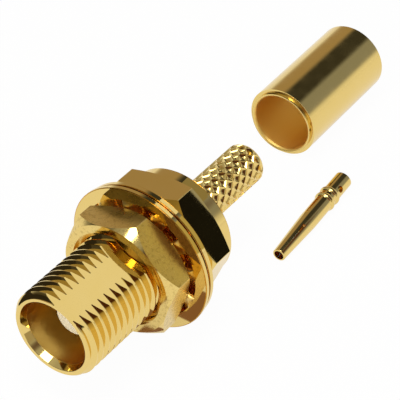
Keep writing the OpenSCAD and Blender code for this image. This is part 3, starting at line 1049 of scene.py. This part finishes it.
def room():
    """World that is the room round the floor. Reflections show it, and the camera sees plain white."""
    world = bpy.data.worlds.new("room")
    world.use_nodes = True
    tree = world.node_tree
    look = add(tree, "ShaderNodeTexCoord").outputs["Generated"]
    height = maths(tree, "MULTIPLY_ADD", dot(tree, look, (0, 0, 1)), 0.5, 0.5)
    ramp = add(tree, "ShaderNodeValToRGB", height)
    stops = ramp.color_ramp.elements
    while len(stops) < len(WALLS):
        stops.new(0.5)
    for stop, (at, level) in zip(stops, WALLS):
        stop.position = at
        stop.color = (level, level, level, 1)
    colour = ramp.outputs[0]
    for azimuth, elevation, full, gone, tint in ROOM:
        near = dot(tree, look, towards(azimuth, elevation))
        share = eased_step(tree, near, math.cos(math.radians(gone)), math.cos(math.radians(full)), 0, 1)
        colour = blend(tree, share, colour, (*tint, 1))
    seen = add(tree, "ShaderNodeLightPath").outputs["Is Camera Ray"]
    colour = blend(tree, seen, colour, (1, 1, 1, 1))
    tree.links.new(colour, tree.nodes["Background"].inputs["Color"])
    return world


scene.world = room()
print("room with", len(ROOM), "patches and", len(WALLS), "levels of grey")

# %% Floor
FLOOR_REACH = 1.0
FLOOR_WHITE = (0.9, 0.9, 0.9, 1)
FLOOR_GLOW = 0.97
MIRROR_GLOW = 0.75
SQUARE = ((-1, -1), (1, -1), (1, 1), (-1, 1))


def plain_sheet(name, corners, material):
    """Flat sheet that belongs to the studio."""
    mesh = bpy.data.meshes.new(name)
    mesh.from_pydata(corners, [], [(0, 1, 2, 3)])
    sheet = new_piece(name, mesh)
    sheet.data.materials.append(material)
    return sheet


def floor_finish():
    """White floor that glows a little for the camera and in reflections, and still takes shadows."""
    material, tree, shader = new_material("floor_white")
    tree.nodes.remove(shader)
    path = add(tree, "ShaderNodeLightPath")
    mirrored = maths(tree, "MAXIMUM", path.outputs["Is Glossy Ray"], path.outputs["Is Transmission Ray"])
    share = maths(tree, "MAXIMUM", maths(tree, "MULTIPLY", path.outputs["Is Camera Ray"], FLOOR_GLOW),
                  maths(tree, "MULTIPLY", mirrored, MIRROR_GLOW))
    paper = add(tree, "ShaderNodeBsdfDiffuse", FLOOR_WHITE).outputs[0]
    glow = add(tree, "ShaderNodeEmission", (1, 1, 1, 1), 1.0).outputs[0]
    mixed = add(tree, "ShaderNodeMixShader", share, paper, glow).outputs[0]
    tree.links.new(mixed, tree.nodes["Material Output"].inputs["Surface"])
    return material


floor_z = TABLE_Z * MM
plain_sheet("floor", [(a * FLOOR_REACH, b * FLOOR_REACH, floor_z) for a, b in SQUARE], floor_finish())
print("floor at", round(floor_z, 5))

# %% [markdown]
# ## Lamps and cards
# Two lamps give the sharp sparkles: one over the front, which the nut's corner shows, and a wide one overhead,
# which the bore's mouth shows. A third one lights the white insulator, and mirrors don't see it. Cards stand round
# the jack, and only mirrors see them: photographers use such cards to give bright metal its dark and light parts. A
# white one lights the barrel's flat, a black one darkens the hexagon's right face, a grey and an olive one tone the
# collar and the nut, one on the floor shades the washer, and a dark screen in front makes the thread's grooves black.

# %% Lamps
LAMP_DISTANCE = 0.3
LAMP_WHITE = (1.0, 0.98, 0.94)
LAMPS = (
    # name, direction, size in metres, brightness of its face, whether mirrors see it
    ("front_lamp", (-0.09, -0.72, 0.69), 0.05, 9.0, True),
    ("top_lamp", (0.08, -0.13, 0.99), 0.14, 7.0, True),
    ("fill_lamp", (0.3, -0.93, 0.2), 0.3, 2.0, False),
)


def lamp(name, direction, size, brightness, in_mirrors):
    """Square lamp that faces the jack."""
    light = bpy.data.lights.new(name, "AREA")
    light.size = size
    light.energy = brightness * math.pi * size * size
    light.color = LAMP_WHITE
    made = bpy.data.objects.new(name, light)
    away = Vector(direction).normalized()
    facing = away.to_track_quat("Z", "Y").to_matrix().to_4x4()
    made.matrix_world = Matrix.Translation(away * LAMP_DISTANCE) @ facing
    made.visible_glossy = in_mirrors
    scene.collection.objects.link(made)
    print(name, "at", [round(x, 3) for x in made.matrix_world.translation])


for values in LAMPS:
    lamp(*values)

# %% Cards
HEX_TURN = FLAT_ANGLE - math.pi / 6
NUT_TURN = NUT_ANGLE - math.pi / 6
CARDS = (
    # name, angle, reach and middle of the face that mirrors it, distance, half length, half width, colour
    ("white_card", FLAT_ANGLE, FLAT_REACH, -6.0, 40.0, 8.0, 8.0, (0.95, 0.95, 0.95)),
    ("black_card", HEX_TURN, HEX_FLATS / 2, 1.95, 4.0, 0.95, 2.7, (0.01, 0.01, 0.01)),
    ("grey_card", FLAT_ANGLE, COLLAR_R, 3.7, 8.0, 0.8, 4.0, (0.30, 0.27, 0.18)),
    ("olive_card", NUT_TURN, NUT_FLATS / 2, -1.87, 8.0, 2.2, 3.6, (0.52, 0.46, 0.24)),
)
SHADE = ((0.6, -5.2), (3.4, -2.2))
SHADE_BROWN = (0.26, 0.14, 0.09)
SCREEN = (
    # azimuth, distance, top: corners of the dark screen, in degrees and millimetres
    (-103, 15, 3), (-130, 15, 4), (-160, 24, 7), (180, 42, 9), (157, 52, 11),
)
SCREEN_MIDDLE = Vector((-1.0, -6.0, 0))
SCREEN_BLACK = (0.03, 0.025, 0.02)


def even_glow(name, colour):
    """Material of one even brightness."""
    material, tree, shader = new_material(name)
    tree.nodes.remove(shader)
    glow = add(tree, "ShaderNodeEmission", (*colour, 1), 1.0).outputs[0]
    tree.links.new(glow, tree.nodes["Material Output"].inputs["Surface"])
    return material


def for_mirrors(sheet):
    """Lets only reflections see a sheet."""
    sheet.visible_camera = False
    sheet.visible_diffuse = False
    sheet.visible_transmission = False
    sheet.visible_shadow = False
    print(sheet.name, "for mirrors only")


def mirrored_card(name, turn, reach, at, away, half_long, half_wide, colour):
    """Card that the camera sees in a flat face. The face looks out at an angle about the jack's axis, and has its
    distance from the axis and its middle along it."""
    out = Vector((math.cos(turn), 0, math.sin(turn)))
    mirrored = (-back).reflect(out)
    along = JACK_ALONG - mirrored * mirrored.y
    along.normalize()
    across = mirrored.cross(along) * half_wide
    along *= half_long
    middle = out * reach + Vector((0, at, 0)) + mirrored * away
    corners = [(middle + across * a + along * b) * MM for a, b in SQUARE]
    for_mirrors(plain_sheet(name, corners, even_glow(name, colour)))


def shade_card():
    """Card on the floor under the barrel, in place of the shade that the floor has there."""
    (left, front), (far, rear) = SHADE
    corners = [(left, front), (far, front), (far, rear), (left, rear)]
    spots = [Vector((x, y, TABLE_Z + EDGE)) * MM for x, y in corners]
    for_mirrors(plain_sheet("shade_card", spots, even_glow("shade", SHADE_BROWN)))


def dark_screen():
    """Bent screen that stands on the floor in front of the jack and at its left."""
    material = even_glow("screen", SCREEN_BLACK)
    posts = [(towards(azimuth, 0) * distance + SCREEN_MIDDLE, top) for azimuth, distance, top in SCREEN]
    for (one, low_top), (two, high_top) in zip(posts, posts[1:]):
        corners = [(one.x, one.y, TABLE_Z), (two.x, two.y, TABLE_Z), (two.x, two.y, high_top),
                   (one.x, one.y, low_top)]
        for_mirrors(plain_sheet("screen", [Vector(corner) * MM for corner in corners], material))


for values in CARDS:
    mirrored_card(*values)
shade_card()
dark_screen()

# %% [markdown]
# ## Bounces
# Light goes from gold to gold many times in the gaps of this part, and each bounce makes it more orange, so more
# bounces are allowed than usual.

# %% Bounces and view
MOST_BOUNCES = 16
MIRROR_BOUNCES = 12
scene.cycles.max_bounces = MOST_BOUNCES
scene.cycles.glossy_bounces = MIRROR_BOUNCES
scene.view_settings.view_transform = "Standard"
